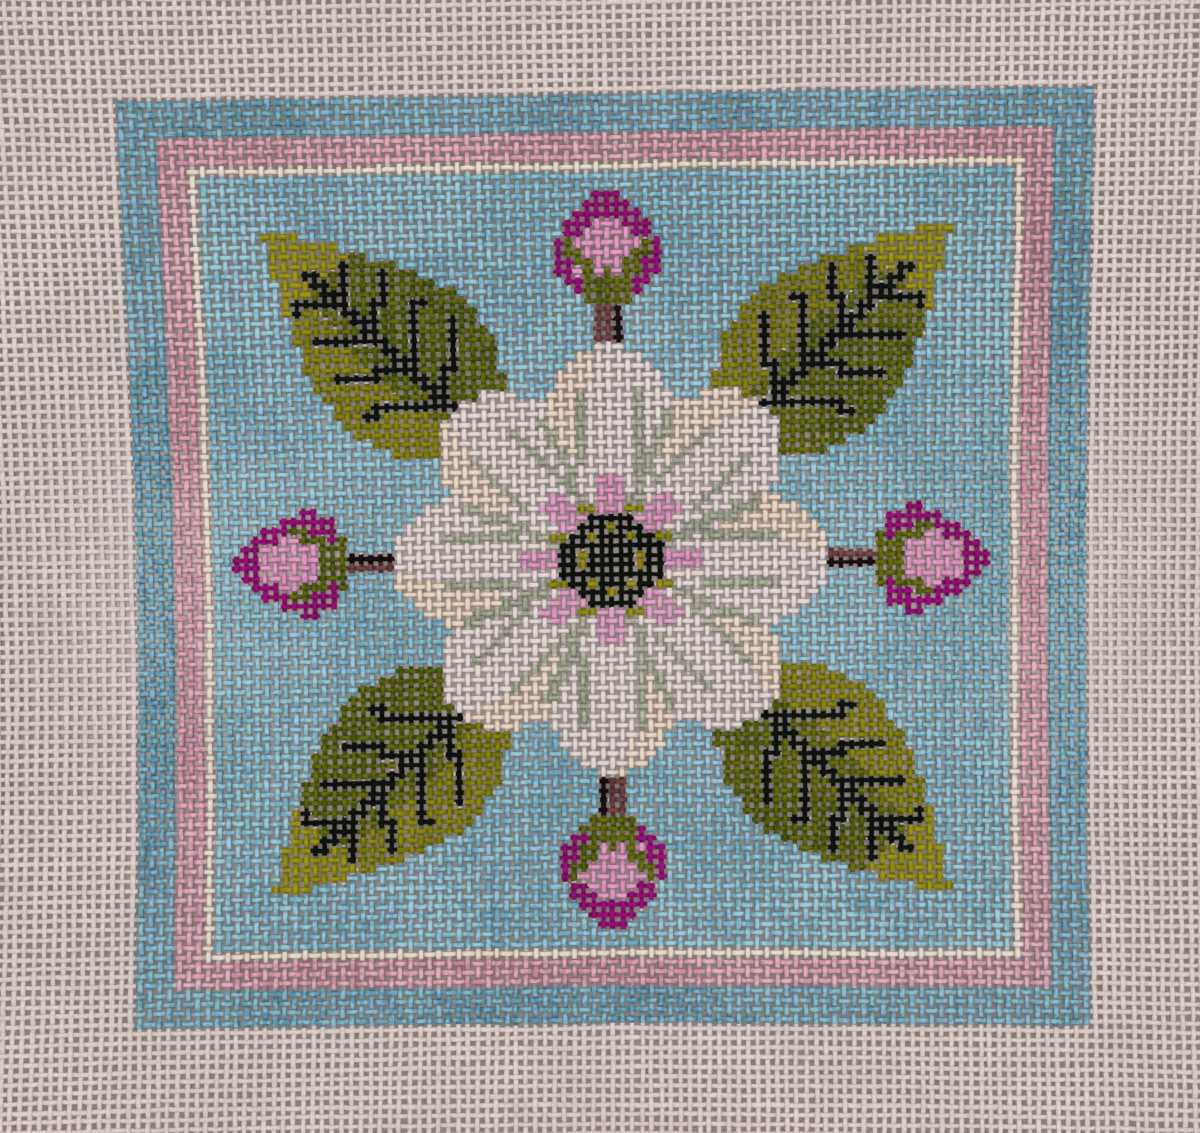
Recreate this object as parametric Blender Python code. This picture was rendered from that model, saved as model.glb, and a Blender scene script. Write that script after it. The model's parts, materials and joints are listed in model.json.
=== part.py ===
# Needlepoint canvas, 13 threads to the inch: two layers of cotton thread, the paint
# coats of a banded square with a flower medallion on them, and tape round the cut edges.
# Units are metres, +Z up. The canvas lies flat, face up, centred on the origin.

import math

import bmesh
import bpy
import numpy as np

INCH = 0.0254
THREADS_PER_INCH = 13
PITCH = INCH / THREADS_PER_INCH

# Counts of threads across the painted square, and of each band round its field.
PAINTED_COLUMNS = 99
PAINTED_ROWS = 98
MARGIN_THREADS = 26
BLUE_BAND = 4
PINK_BAND = 3
CREAM_LINE = 1
COLUMNS = PAINTED_COLUMNS + 2 * MARGIN_THREADS
ROWS = PAINTED_ROWS + 2 * MARGIN_THREADS

THREAD_WIDTH = 0.00090
THREAD_THICKNESS = 0.00050
LAYER_GAP = 0.00010
COAT_THICKNESS = 0.00015
COAT_GAP = 0.00005
COAT_WIDTH = 0.00080
COAT_END_GAP = 0.00015

TAPE_THICKNESS = 0.00025
TAPE_WIDTH = 0.0125
TAPE_GAP = 0.00030

# Heights of the layers above the surface that the canvas lies on.
WEFT_Z = TAPE_THICKNESS + LAYER_GAP
WARP_Z = WEFT_Z + THREAD_THICKNESS + LAYER_GAP
COAT_Z = WARP_Z + THREAD_THICKNESS + COAT_GAP
TAPE_TOP_Z = WARP_Z + THREAD_THICKNESS + LAYER_GAP + TAPE_THICKNESS

# The medallion's outlines, in threads from the centre of the square. Each spindle has
# a start, an end, a half-width, how far its belly sits from its root, and its bluntness.
PETALS = 8
PETAL = (2.0, 23.0, 7.0, 1.35, 0.62)
LEAF = (17.0, 50.0, 9.0, 0.72, 1.0)
BUD = (27.0, 39.5, 5.6, 0.7, 0.8)
HEART_RADIUS = 5.3
STALK_START = 18.0
STALK_END = 31.0
STALK_HALF_WIDTH = 1.2

COLOURS = {
    "bare_cotton": (0.73, 0.66, 0.63),
    "blue_paint": (0.14, 0.37, 0.46),
    "sky_paint": (0.21, 0.47, 0.56),
    "pink_paint": (0.55, 0.25, 0.33),
    "cream_paint": (0.78, 0.68, 0.55),
    "petal_paint": (0.76, 0.71, 0.69),
    "heart_paint": (0.01, 0.03, 0.01),
    "leaf_paint": (0.10, 0.15, 0.01),
    "bud_paint": (0.25, 0.005, 0.13),
    "stalk_paint": (0.08, 0.03, 0.03),
    "white_tape": (0.80, 0.78, 0.74),
}
ROUGHNESS = 0.85


def clear_scene():
    for old in list(bpy.data.objects):
        bpy.data.objects.remove(old)


def material(name):
    found = bpy.data.materials.get(name)
    if found:
        return found
    made = bpy.data.materials.new(name)
    made.use_nodes = True
    shader = made.node_tree.nodes["Principled BSDF"]
    shader.inputs["Base Color"].default_value = (*COLOURS[name], 1.0)
    shader.inputs["Roughness"].default_value = ROUGHNESS
    shader.inputs["Metallic"].default_value = 0.0
    made.diffuse_color = (*COLOURS[name], 1.0)
    return made


def add_object(name, bm, paint):
    mesh = bpy.data.meshes.new(name)
    bm.to_mesh(mesh)
    bm.free()
    mesh.materials.append(material(paint))
    made = bpy.data.objects.new(name, mesh)
    bpy.context.scene.collection.objects.link(made)
    return made


def column_x(column):
    return (column - (COLUMNS - 1) / 2) * PITCH


def row_y(row):
    return (row - (ROWS - 1) / 2) * PITCH


# Flat shapes made of rectangles (x0, x1, y0, y1) that meet edge to edge.


def cuts(low, high, values):
    """The distinct values strictly between low and high, with both ends."""
    inside = sorted(v for v in values if low + 1e-7 < v < high - 1e-7)
    kept = [low]
    for v in inside:
        if v - kept[-1] > 1e-7:
            kept.append(v)
    return kept + [high]


def split_once(rectangles):
    """Splits each rectangle where a neighbour's corner meets its side."""
    boxes = np.array(rectangles)
    pieces = []
    for x0, x1, y0, y1 in rectangles:
        beside = (np.abs(boxes[:, 0] - x1) < 1e-7) | (np.abs(boxes[:, 1] - x0) < 1e-7)
        beside &= (boxes[:, 2] < y1) & (boxes[:, 3] > y0)
        above = (np.abs(boxes[:, 2] - y1) < 1e-7) | (np.abs(boxes[:, 3] - y0) < 1e-7)
        above &= (boxes[:, 0] < x1) & (boxes[:, 1] > x0)
        xs = cuts(x0, x1, boxes[above][:, :2].ravel())
        ys = cuts(y0, y1, boxes[beside][:, 2:].ravel())
        for a, b in zip(xs, xs[1:]):
            for c, d in zip(ys, ys[1:]):
                pieces.append((a, b, c, d))
    return pieces


def split_rectangles(rectangles):
    """Splits until every corner on a shared side belongs to both of its rectangles."""
    pieces = split_once(rectangles)
    while len(pieces) > len(rectangles):
        rectangles = pieces
        pieces = split_once(rectangles)
    return pieces


def plate(name, rectangles, bottom, thickness, paint):
    """One closed solid: the rectangles' common outline, raised from bottom by thickness."""
    bm = bmesh.new()
    corners = {}

    def corner(x, y):
        key = (round(x * 1e7), round(y * 1e7))
        if key not in corners:
            corners[key] = bm.verts.new((x, y, bottom))
        return corners[key]

    for x0, x1, y0, y1 in split_rectangles(rectangles):
        bm.faces.new([corner(x0, y0), corner(x1, y0), corner(x1, y1), corner(x0, y1)])
    raised = bmesh.ops.extrude_face_region(bm, geom=list(bm.faces))
    moved = [g for g in raised["geom"] if isinstance(g, bmesh.types.BMVert)]
    bmesh.ops.translate(bm, verts=moved, vec=(0.0, 0.0, thickness))
    bmesh.ops.recalc_face_normals(bm, faces=list(bm.faces))
    bmesh.ops.dissolve_limit(
        bm,
        angle_limit=math.radians(0.1),
        verts=list(bm.verts),
        edges=list(bm.edges),
    )
    bmesh.ops.triangulate(bm, faces=list(bm.faces))
    return add_object(name, bm, paint)


# The threads. Each layer is one length of thread laid to and fro, which turns under the tape.


def warp_layer():
    half = THREAD_WIDTH / 2
    end = ROWS * PITCH / 2
    bars = [(column_x(c) - half, column_x(c) + half, -end, end) for c in range(COLUMNS)]
    turns = []
    for c in range(COLUMNS - 1):
        low = -end if c % 2 else end - THREAD_WIDTH
        turns.append((column_x(c) + half, column_x(c + 1) - half, low, low + THREAD_WIDTH))
    plate("warp_threads", bars + turns, WARP_Z, THREAD_THICKNESS, "bare_cotton")


def weft_layer():
    half = THREAD_WIDTH / 2
    end = COLUMNS * PITCH / 2
    bars = [(-end, end, row_y(r) - half, row_y(r) + half) for r in range(ROWS)]
    turns = []
    for r in range(ROWS - 1):
        low = -end if r % 2 else end - THREAD_WIDTH
        turns.append((low, low + THREAD_WIDTH, row_y(r) + half, row_y(r + 1) - half))
    plate("weft_threads", bars + turns, WEFT_Z, THREAD_THICKNESS, "bare_cotton")


# The bands round the square: loops of painted thread, joined where they cross the middle threads.


def loop_rectangles(inset):
    """A square loop one coat wide, inset that many threads from the square's outermost thread."""
    half = COAT_WIDTH / 2
    x = ((PAINTED_COLUMNS - 1) / 2 - inset) * PITCH
    y = ((PAINTED_ROWS - 1) / 2 - inset) * PITCH
    return [
        (-x - half, x + half, y - half, y + half),
        (-x - half, x + half, -y - half, -y + half),
        (-x - half, -x + half, -y + half, y - half),
        (x - half, x + half, -y + half, y - half),
    ]


def band(name, first, count, paint):
    rectangles = []
    half = COAT_WIDTH / 2
    for k in range(count):
        rectangles += loop_rectangles(first + k)
    for k in range(count - 1):
        x = ((PAINTED_COLUMNS - 1) / 2 - first - k) * PITCH
        y = ((PAINTED_ROWS - 1) / 2 - first - k) * PITCH
        gap = PITCH - COAT_WIDTH
        rectangles += [
            (-half, half, y - half - gap, y - half),
            (-half, half, -y + half, -y + half + gap),
            (x - half - gap, x - half, -half, half),
            (-x + half, -x + half + gap, -half, half),
        ]
    plate(name, rectangles, COAT_Z, COAT_THICKNESS, paint)


# The medallion: each cell is one crossing of the canvas, painted in one colour.


def polar(across, up, turn):
    """Distance along and across a ray that leaves the centre at the given angle."""
    along = across * math.cos(turn) + up * math.sin(turn)
    side = -across * math.sin(turn) + up * math.cos(turn)
    return along, side


def spindle(along, side, start, end, half_width, belly, bluntness):
    """True inside a pointed outline whose half-width is a power of a sine along its length."""
    t = np.clip((along - start) / (end - start), 0.0, 1.0)
    width = half_width * np.sin(math.pi * t**belly) ** bluntness
    return (np.abs(side) <= width) & (along > start) & (along < end)


def medallion():
    """Masks over the canvas's cells, from the topmost colour down; a cell has one colour only."""
    column, row = np.meshgrid(np.arange(COLUMNS), np.arange(ROWS), indexing="ij")
    across = column - (COLUMNS - 1) / 2
    up = row - (ROWS - 1) / 2
    inner = BLUE_BAND + PINK_BAND + CREAM_LINE
    free = (np.abs(across) <= (PAINTED_COLUMNS - 1) / 2 - inner) & (
        np.abs(up) <= (PAINTED_ROWS - 1) / 2 - inner
    )
    masks = {}

    def claim(name, mask):
        masks[name] = mask & free
        free[mask] = False

    claim("flower_heart", np.hypot(across, up) <= HEART_RADIUS)
    petals = np.zeros_like(free)
    for k in range(PETALS):
        petals |= spindle(*polar(across, up, math.tau * k / PETALS), *PETAL)
    claim("flower_petals", petals)
    for k in range(4):
        claim(f"leaf_{k + 1}", spindle(*polar(across, up, math.tau * (k + 0.5) / 4), *LEAF))
    for k in range(4):
        along, side = polar(across, up, math.tau * k / 4)
        claim(f"bud_{k + 1}", spindle(along, side, *BUD))
        stalk = (along > STALK_START) & (along < STALK_END) & (np.abs(side) <= STALK_HALF_WIDTH)
        claim(f"stalk_{k + 1}", stalk)
    masks["sky_ground"] = free
    return masks


def runs(line):
    """(first, last) of each unbroken stretch of True cells."""
    edges = np.flatnonzero(np.diff(np.concatenate([[0], line.astype(int), [0]])))
    return list(zip(edges[::2], edges[1::2] - 1))


def root_of(links, run):
    while links[run] != run:
        run = links[run]
    return run


def coat_rectangles(mask):
    """A strip along each column's painted threads, joined at one crossing where that ties two loose strips."""
    half = COAT_WIDTH / 2
    reach = PITCH / 2 - COAT_END_GAP
    strips = [(c, first, last) for c in range(COLUMNS) for first, last in runs(mask[c])]
    rectangles = [
        (column_x(c) - half, column_x(c) + half, row_y(first) - reach, row_y(last) + reach)
        for c, first, last in strips
    ]
    meetings = []
    for a in strips:
        for b in strips:
            low, high = max(a[1], b[1]), min(a[2], b[2])
            if b[0] == a[0] + 1 and low <= high:
                flush = a[1] == b[1] or a[2] == b[2]
                meetings.append((not flush, a, b, low, high))
    links = {strip: strip for strip in strips}
    for loose_ends, a, b, low, high in sorted(meetings):
        if root_of(links, a) == root_of(links, b):
            continue
        links[root_of(links, b)] = root_of(links, a)
        if loose_ends:
            y = row_y((low + high) // 2) - half
        elif a[1] == b[1]:
            y = row_y(low) - reach
        else:
            y = row_y(high) + reach - COAT_WIDTH
        rectangles.append((column_x(a[0]) + half, column_x(b[0]) - half, y, y + COAT_WIDTH))
    return rectangles


def biggest_body(mask):
    """The mask's largest patch of cells that meet side to side, without its loose scraps."""
    left = mask.copy()
    best = np.zeros_like(mask)
    while left.any():
        patch = np.zeros_like(mask)
        patch[tuple(np.argwhere(left)[0])] = True
        size = 0
        while patch.sum() > size:
            size = patch.sum()
            grown = patch.copy()
            grown[1:] |= patch[:-1]
            grown[:-1] |= patch[1:]
            grown[:, 1:] |= patch[:, :-1]
            grown[:, :-1] |= patch[:, 1:]
            patch = grown & mask
        if patch.sum() > best.sum():
            best = patch
        left &= ~patch
    return best


def paint_of(name):
    kinds = {"flower_heart": "heart_paint", "flower_petals": "petal_paint", "sky_ground": "sky_paint"}
    return kinds.get(name) or name.split("_")[0] + "_paint"


def coats():
    band("blue_band", 0, BLUE_BAND, "blue_paint")
    band("pink_band", BLUE_BAND, PINK_BAND, "pink_paint")
    band("cream_line", BLUE_BAND + PINK_BAND, CREAM_LINE, "cream_paint")
    for name, mask in medallion().items():
        plate(name, coat_rectangles(biggest_body(mask)), COAT_Z, COAT_THICKNESS, paint_of(name))


# The tape: a strip folded over each cut edge, a channel open towards the canvas.


def tape(name, along_x, sign):
    """The fold lies outside the thread ends, and its two flaps cover them above and below."""
    edge = (ROWS if along_x else COLUMNS) * PITCH / 2
    inner = edge + TAPE_GAP
    outer = inner + TAPE_THICKNESS
    start = outer - TAPE_WIDTH
    top, bottom = TAPE_TOP_Z, 0.0
    profile = [
        (start, bottom),
        (outer, bottom),
        (outer, top),
        (start, top),
        (start, top - TAPE_THICKNESS),
        (inner, top - TAPE_THICKNESS),
        (inner, bottom + TAPE_THICKNESS),
        (start, bottom + TAPE_THICKNESS),
    ]
    across = COLUMNS * PITCH / 2 + TAPE_GAP + TAPE_THICKNESS
    down = ROWS * PITCH / 2 + TAPE_GAP + TAPE_THICKNESS - TAPE_WIDTH - TAPE_GAP
    reach = across if along_x else down
    bm = bmesh.new()
    ends = []
    for end in (-reach, reach):
        if along_x:
            ends.append([bm.verts.new((end, sign * d, z)) for d, z in profile])
        else:
            ends.append([bm.verts.new((sign * d, end, z)) for d, z in profile])
    for ring in ends:
        bm.faces.new(ring)
    count = len(profile)
    for k in range(count):
        n = (k + 1) % count
        bm.faces.new([ends[0][k], ends[0][n], ends[1][n], ends[1][k]])
    bmesh.ops.recalc_face_normals(bm, faces=list(bm.faces))
    bmesh.ops.triangulate(bm, faces=list(bm.faces))
    add_object(name, bm, "white_tape")


def main():
    clear_scene()
    weft_layer()
    warp_layer()
    coats()
    tape("tape_top", True, 1)
    tape("tape_bottom", True, -1)
    tape("tape_left", False, -1)
    tape("tape_right", False, 1)


main()
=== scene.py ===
# Needlepoint canvas, 13 threads to the inch, in its finished look: every cotton thread
# woven over and under, matt paint on the threads of a banded square with a flower
# medallion, and cloth tape folded over the cut edges.
# Metres, +Z up. Cells are the crossings of a column (warp) and a row (weft) thread.
import json
import math

import bpy
import numpy as np
from mathutils import Vector
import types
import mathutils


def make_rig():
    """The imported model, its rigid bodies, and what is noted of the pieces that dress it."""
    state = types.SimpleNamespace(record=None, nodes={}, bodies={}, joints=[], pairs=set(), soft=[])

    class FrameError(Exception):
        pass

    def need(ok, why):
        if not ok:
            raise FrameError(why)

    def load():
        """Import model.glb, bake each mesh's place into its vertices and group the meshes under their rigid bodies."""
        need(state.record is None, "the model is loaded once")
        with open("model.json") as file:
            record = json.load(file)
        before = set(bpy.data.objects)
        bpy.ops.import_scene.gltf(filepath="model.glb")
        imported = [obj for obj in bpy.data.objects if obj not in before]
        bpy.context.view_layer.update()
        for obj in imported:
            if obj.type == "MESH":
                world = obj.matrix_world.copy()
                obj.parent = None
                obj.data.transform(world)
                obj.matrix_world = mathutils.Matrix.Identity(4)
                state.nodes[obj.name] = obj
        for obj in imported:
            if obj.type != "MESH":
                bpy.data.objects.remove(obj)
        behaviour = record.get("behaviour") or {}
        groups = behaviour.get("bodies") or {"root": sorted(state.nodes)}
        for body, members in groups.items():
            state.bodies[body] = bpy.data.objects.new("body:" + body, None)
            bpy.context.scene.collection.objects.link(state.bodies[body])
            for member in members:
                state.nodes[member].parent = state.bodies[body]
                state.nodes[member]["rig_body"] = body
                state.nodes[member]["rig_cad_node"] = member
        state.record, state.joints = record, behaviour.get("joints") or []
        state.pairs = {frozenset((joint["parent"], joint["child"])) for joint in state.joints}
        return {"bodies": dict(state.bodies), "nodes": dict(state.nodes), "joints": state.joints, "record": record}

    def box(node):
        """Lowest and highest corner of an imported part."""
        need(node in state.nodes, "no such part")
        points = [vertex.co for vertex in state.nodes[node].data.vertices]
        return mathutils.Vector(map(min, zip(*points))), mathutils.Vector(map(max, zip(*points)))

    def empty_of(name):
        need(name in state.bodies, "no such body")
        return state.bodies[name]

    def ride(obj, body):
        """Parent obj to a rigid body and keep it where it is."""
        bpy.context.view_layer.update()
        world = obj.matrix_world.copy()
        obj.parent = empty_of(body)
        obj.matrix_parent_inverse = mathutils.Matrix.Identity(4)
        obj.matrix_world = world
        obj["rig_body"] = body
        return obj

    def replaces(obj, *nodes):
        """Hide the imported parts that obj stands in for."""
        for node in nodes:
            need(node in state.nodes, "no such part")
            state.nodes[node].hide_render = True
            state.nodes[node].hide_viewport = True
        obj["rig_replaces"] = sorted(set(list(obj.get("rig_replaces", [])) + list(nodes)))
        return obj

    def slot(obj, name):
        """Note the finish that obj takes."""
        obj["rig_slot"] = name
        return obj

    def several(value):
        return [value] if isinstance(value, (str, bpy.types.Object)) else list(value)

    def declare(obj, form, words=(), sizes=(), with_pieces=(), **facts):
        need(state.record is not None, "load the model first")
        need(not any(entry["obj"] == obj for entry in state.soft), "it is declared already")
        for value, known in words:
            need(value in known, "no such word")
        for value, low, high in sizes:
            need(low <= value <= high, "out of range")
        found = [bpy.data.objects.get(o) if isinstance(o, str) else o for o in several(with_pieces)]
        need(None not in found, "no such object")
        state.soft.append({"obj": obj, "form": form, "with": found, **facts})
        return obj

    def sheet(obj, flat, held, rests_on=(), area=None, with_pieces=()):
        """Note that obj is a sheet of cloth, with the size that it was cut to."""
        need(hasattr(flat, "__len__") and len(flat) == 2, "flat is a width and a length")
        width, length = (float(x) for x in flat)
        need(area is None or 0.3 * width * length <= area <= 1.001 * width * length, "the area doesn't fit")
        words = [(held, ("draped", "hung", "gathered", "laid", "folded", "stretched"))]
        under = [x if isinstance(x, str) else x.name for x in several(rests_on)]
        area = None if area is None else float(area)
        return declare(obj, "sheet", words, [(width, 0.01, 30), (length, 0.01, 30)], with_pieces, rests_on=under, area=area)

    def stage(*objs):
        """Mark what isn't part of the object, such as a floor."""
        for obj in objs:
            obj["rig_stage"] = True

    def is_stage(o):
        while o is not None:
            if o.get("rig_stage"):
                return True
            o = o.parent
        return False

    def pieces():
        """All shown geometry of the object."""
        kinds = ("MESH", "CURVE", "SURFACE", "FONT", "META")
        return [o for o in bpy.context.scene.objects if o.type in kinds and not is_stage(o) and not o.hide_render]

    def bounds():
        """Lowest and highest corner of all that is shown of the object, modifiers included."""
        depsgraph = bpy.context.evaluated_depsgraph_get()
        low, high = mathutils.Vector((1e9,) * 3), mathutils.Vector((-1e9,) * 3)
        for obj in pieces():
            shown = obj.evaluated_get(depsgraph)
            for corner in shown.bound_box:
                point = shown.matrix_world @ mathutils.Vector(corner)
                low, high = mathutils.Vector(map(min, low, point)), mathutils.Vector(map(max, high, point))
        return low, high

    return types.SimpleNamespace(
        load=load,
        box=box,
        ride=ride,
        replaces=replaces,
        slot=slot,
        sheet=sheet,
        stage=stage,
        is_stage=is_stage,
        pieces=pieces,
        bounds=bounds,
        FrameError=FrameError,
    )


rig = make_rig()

# The canvas, counted in threads.
PITCH = 0.0254 / 13
MARGIN = 26
PAINTED_COLUMNS = 99
PAINTED_ROWS = 98
COLUMNS = PAINTED_COLUMNS + 2 * MARGIN
ROWS = PAINTED_ROWS + 2 * MARGIN
BLUE_BAND = 4
PINK_BAND = 3
CREAM_LINE = 1
TAPE_COVERS = 6

# A thread's section is a flattened oval with SIDES corners. BARE and PAINTED give its
# half-width in the margins and under paint, and its crimp: how far it rises over the
# threads that it crosses, and sinks under them.
SIDES = 5
FLATNESS = 0.5
BARE = (0.252 * PITCH, 0.00010)
PAINTED = (0.247 * PITCH, 0.00016)
WARP_IS_WIDER = 1.03
HALF_HEIGHT = 0.00018
WEAVE_Z = 0.00090

# How uneven the threads are. They stray by STRAY metres, along themselves and from one to
# the next, and their slubs are a share of their width. Waves are the shortest and the
# longest along a thread, in cells, and a colour's edge is ragged by a share of a cell.
STRAY = 0.035 * PITCH
STRAY_WAVES = (5, 40)
SLUB_ALONG = 0.06
SLUB_APART = 0.03
SLUB_WAVES = (2.5, 20)
SINES = 4
RAGGED_PAINT = 0.13

# The medallion's outlines, in threads from the centre of the square. Each spindle has
# a start, an end, a half-width, how far its belly sits from its root, and its bluntness.
# A stalk has a start, an end and a half-width.
PETALS = 8
PETAL = (2.0, 23.0, 7.0, 1.35, 0.62)
LEAF = (17.0, 50.0, 9.0, 0.72, 1.0)
BUD = (27.0, 39.5, 5.6, 0.7, 0.8)
STALK = (18.0, 31.0, 1.2)
HEART_RADIUS = 5.3

# The tape: whether each strip runs along x, and which side of the middle it is on. Its
# flaps dip by up to twice TAPE_DIP between threads. Its free edges are ragged by two
# sines, each with a size, its radians to the metre and a phase, and the side strips are
# squeezed where they are tucked under the other two.
TAPES = {"top": (True, 1), "bottom": (True, -1), "left": (False, -1), "right": (False, 1)}
TAPE_WIDTH = 0.0125
TAPE_THICKNESS = 0.00025
TAPE_TOP_Z = 0.0018
TAPE_DIP = 0.00004
TAPE_RAGGED = ((0.00025, 210, 1), (0.00015, 530, 2))
TAPE_RAGGED_REACH = 0.004
FOLD_POINTS = 28
TUCK = 0.004
TUCK_START = 0.0012
TUCK_EASE = 0.001
TUCK_SQUEEZE = 0.32
TUCK_INSET = 0.0004

# How the loose canvas lies, in metres: its edges and corners lift, it sinks at the left
# and right sides of the painted square, and its threads draw askew. DRAW_OUT widens it and
# DRAW_IN shortens it, as factors. LEVEL and EDGE are in half-widths of the painted square,
# as u and v are in settle().
LIFT_TOP = 0.0045
LIFT_BOTTOM = 0.0020
LIFT_SIDES = 0.00025
LIFT_CORNERS = 0.0030
SINK = 0.00050
EDGE = 1.53
LEVEL = 1.25
DRAW_OUT = 1.0046
DRAW_IN = 0.9865
LEAN = -0.00100
BOW_X = -0.00071
FAN_X = 0.00150
FLARE = 0.00194
TILT = 0.00108
BOW_Y = -0.00063
FAN_Y = 0.00082
SAG = 0.00066

# The camera looks straight down, from a little left of and below the painted centre.
CAMERA_AT = (-0.00228, -0.00136, 0.260)
PIXELS_PER_METRE = 4878.0
PHOTO_WIDTH = 1200
SENSOR_WIDTH = 36.0
CLIP_START = 0.01

# The room. A light has a place, the side of its square, a power in watts and a colour.
WINDOW = ((-0.15, 0.9, 1.2), 1.6, 10.2, (1.0, 0.975, 0.985))
FILL = ((0.5, -0.9, 1.2), 1.2, 4.0, (1.0, 0.965, 0.985))
ROOM_COLOUR = (1.0, 0.965, 0.98, 1.0)
ROOM_STRENGTH = 0.62
FLOOR_REACH = 3.0

# Finishes: how deep the bump of the plies and of the tape's weave is, the waves of that
# weave to the metre, and how much of the paint's unevenness lies in blotches.
PLY_DEPTH = 0.00012
TAPE_RELIEF = 0.00006
TAPE_WAVES = 2800
MOTTLE = 0.5
SHEEN_ROUGHNESS = 0.5

SIZE_FILE = "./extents.json"

rng = np.random.default_rng(13)


def srgb(red, green, blue):
    """The linear colour of three sRGB values from 0 to 255."""
    v = np.array([red, green, blue]) / 255
    return (*np.where(v <= 0.04045, v / 12.92, ((v + 0.055) / 1.055) ** 2.4), 1.0)


# The colours of each painted piece, in the order of the tones in its grid, as pairs of
# where the paint lies thick and where it lies thin. Some pieces share the first three.
GOLD = ((132, 132, 0), (158, 152, 8))
DARK_GREEN = ((0, 4, 1), (4, 18, 5))
MOSS_GREEN = ((66, 84, 0), (112, 118, 0))
BLUE_TONES = [((86, 148, 170), (150, 197, 211))]
PINK_TONES = [((200, 140, 159), (234, 189, 201))]
CREAM_TONES = [((236, 221, 200), (240, 231, 220))]
SKY_TONES = [((110, 171, 190), (169, 213, 224))]
PETAL_TONES = [
    ((230, 220, 216), (238, 229, 225)),
    ((240, 220, 194), (240, 227, 212)),
    ((150, 162, 134), (190, 194, 174)),
    ((222, 146, 190), (230, 176, 208)),
    GOLD,
]
WHITE, SHADE, SAGE, ROSE, DOT = range(5)
HEART_TONES = [DARK_GREEN, GOLD]
LEAF_TONES = [
    MOSS_GREEN,
    ((108, 114, 0), (146, 142, 4)),
    ((140, 138, 4), (166, 158, 16)),
    DARK_GREEN,
]
MOSS, OLIVE, LIME, VEIN = range(4)
BUD_TONES = [((220, 140, 186), (232, 172, 206)), ((142, 0, 108), (166, 0, 134)), MOSS_GREEN]
PALE, MAGENTA, CALYX = range(3)
STALK_TONES = [((96, 52, 54), (128, 78, 78)), ((6, 0, 1), (26, 6, 9))]
BROWN, BARK = range(2)

# The colours of bare cotton, tape and floor.
COTTON_DULL = srgb(230, 218, 212)
COTTON_BRIGHT = srgb(242, 231, 226)
COTTON_PATCH = srgb(221, 208, 202)
COTTON_STAIN = srgb(214, 203, 198)
# Painted shade in the grooves between a thread's plies.
COTTON_GROOVE_SHADE = srgb(176, 162, 152)
COTTON_FIBRE = srgb(196, 182, 172)
COTTON_FLECK = srgb(200, 184, 176)
# Painted shade where a thread dives under the one it crosses.
COTTON_UNDER_SHADE = srgb(186, 172, 164)
UNPAINTED = srgb(224, 212, 206)
# A grey that darkens paint where it pools, and is painted shade where a thread dives under and in its ply grooves.
POOL_AND_SHADE = srgb(176, 176, 176)
TAPE_DULL = srgb(234, 228, 220)
TAPE_BRIGHT = srgb(240, 235, 228)
TAPE_STAIN = srgb(216, 207, 197)
# Painted shade in the low parts of the tape's weave.
TAPE_GROOVE_SHADE = srgb(180, 174, 164)
FLOOR_COLOUR = srgb(222, 213, 207)


# Where the threads lie.


def settle(points):
    """Moves flat points to where the loose canvas lies. u and v run from -1 to 1 over the
    painted square and level off past it as a hyperbolic tangent. x fans and flares towards
    the top, y tilts and bows. The height grows with the squares of u, of v and of their
    product, and sinks at the square's two sides as a cosine wave of u's square."""
    x, y, z = points.T
    u = x / (PAINTED_COLUMNS * PITCH / 2)
    v = y / (PAINTED_ROWS * PITCH / 2)
    su = LEVEL * np.tanh(u / LEVEL)
    sv = LEVEL * np.tanh(v / LEVEL)
    x = x * DRAW_OUT + LEAN * sv + BOW_X * sv**2 + FAN_X * su * sv + FLARE * su * sv**2
    y = y * DRAW_IN + TILT * su + BOW_Y * su**2 + FAN_Y * su * sv + SAG * sv * su**2
    high = LIFT_TOP * np.clip(v, 0, None) ** 2 + LIFT_BOTTOM * np.clip(-v, 0, None) ** 2
    high += LIFT_SIDES * u**2 + LIFT_CORNERS * (u * v / EDGE) ** 2
    sunk = SINK * (1 - np.cos(math.pi * u**2)) / 2
    return np.stack([x, y, z - sunk + high / EDGE**2], axis=1)


def uneven(count, length, along, apart, waves):
    """How each of count threads varies at each of length cells: a sum of sines along it,
    each with its own wavelength and phase, of the root-mean-square size along, and a
    normal draw for the whole thread of the size apart."""
    wavelengths = rng.uniform(*waves, (SINES, count, 1))
    phases = rng.uniform(0, math.tau, (SINES, count, 1))
    sines = np.sin(math.tau * np.arange(length) / wavelengths + phases)
    wander = along * math.sqrt(2 / SINES) * sines.sum(axis=0)
    return wander + apart * rng.normal(size=(count, 1))


# How far each crossing strays, as its warp thread does sideways and its weft thread up
# and down, and then how full each thread is, where its colours end and how it is tinted.
STRAY_X = uneven(COLUMNS, ROWS, STRAY, STRAY, STRAY_WAVES)
STRAY_Y = uneven(ROWS, COLUMNS, STRAY, STRAY, STRAY_WAVES).T
FULLNESS = {
    "warp": 1 + uneven(COLUMNS, ROWS, SLUB_ALONG, SLUB_APART, SLUB_WAVES),
    "weft": 1 + uneven(ROWS, COLUMNS, SLUB_ALONG, SLUB_APART, SLUB_WAVES),
}
PAINT_EDGE = {
    "warp": rng.uniform(-RAGGED_PAINT, RAGGED_PAINT, (COLUMNS, ROWS + 1)),
    "weft": rng.uniform(-RAGGED_PAINT, RAGGED_PAINT, (ROWS, COLUMNS + 1)),
}
THREAD_TINT = {"warp": rng.random(COLUMNS), "weft": rng.random(ROWS)}


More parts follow.
